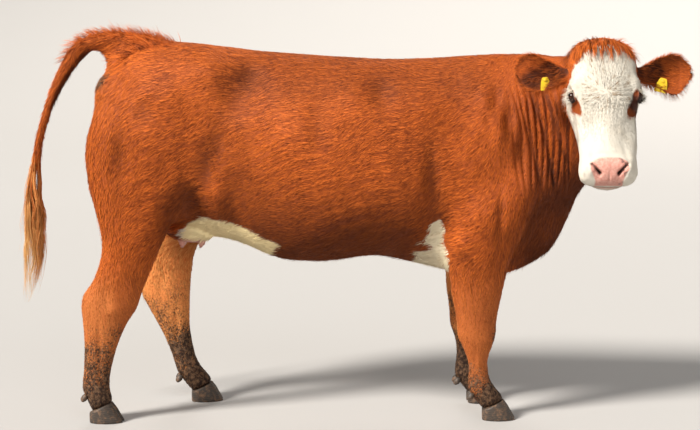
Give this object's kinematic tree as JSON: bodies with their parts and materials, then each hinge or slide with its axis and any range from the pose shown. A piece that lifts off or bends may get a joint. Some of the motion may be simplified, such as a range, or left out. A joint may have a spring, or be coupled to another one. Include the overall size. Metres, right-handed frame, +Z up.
{
  "type": "standing cow model",
  "caption": "Life-size still model of a standing rust-coated, white-faced cow with its head turned to one side, tail raised at the root, and a blank tag in each ear.",
  "frame": {"origin": "middle of the bounding box seen from above, at the level of the soles", "axes": "+X the way the cow's body faces, from tail to breast; -Y its right side, to which the head is turned; +Z up"},
  "size_m": [2.4392, 0.963, 1.4577],
  "materials": {
    "rust_coat": "short rust-red hair, soft sheen",
    "white_coat": "short cream-white hair, matte",
    "bare_skin": "pink skin with sparse hair, satin",
    "switch_hair": "long blond hair",
    "horn": "dark hoof horn, satin",
    "eye": "wet gloss",
    "tag_plastic": "yellow flexible plastic, satin"
  },
  "bodies": {
    "root": {"ear_left": "rust_coat", "ear_right": "rust_coat", "ear_tag_left": "tag_plastic", "ear_tag_right": "tag_plastic", "eye_left": "eye", "eye_right": "eye", "foreleg_left_cannon": "rust_coat", "foreleg_left_claw_inner": "horn", "foreleg_left_claw_outer": "horn", "foreleg_left_dewclaw_inner": "horn", "foreleg_left_dewclaw_outer": "horn", "foreleg_left_forearm": "rust_coat", "foreleg_left_pastern": "rust_coat", "foreleg_right_cannon": "rust_coat", "foreleg_right_claw_inner": "horn", "foreleg_right_claw_outer": "horn", "foreleg_right_dewclaw_inner": "horn", "foreleg_right_dewclaw_outer": "horn", "foreleg_right_forearm": "rust_coat", "foreleg_right_pastern": "rust_coat", "head": "white_coat", "hindleg_left_cannon": "rust_coat", "hindleg_left_claw_inner": "horn", "hindleg_left_claw_outer": "horn", "hindleg_left_dewclaw_inner": "horn", "hindleg_left_dewclaw_outer": "horn", "hindleg_left_pastern": "rust_coat", "hindleg_left_thigh": "rust_coat", "hindleg_right_cannon": "rust_coat", "hindleg_right_claw_inner": "horn", "hindleg_right_claw_outer": "horn", "hindleg_right_dewclaw_inner": "horn", "hindleg_right_dewclaw_outer": "horn", "hindleg_right_pastern": "rust_coat", "hindleg_right_thigh": "rust_coat", "lower_jaw": "white_coat", "muzzle": "white_coat", "neck": "rust_coat", "tail_dock": "rust_coat", "tail_lower": "rust_coat", "tail_switch": "switch_hair", "tail_upper": "rust_coat", "trunk": "rust_coat", "udder": "bare_skin"}
  },
  "joints": []
}
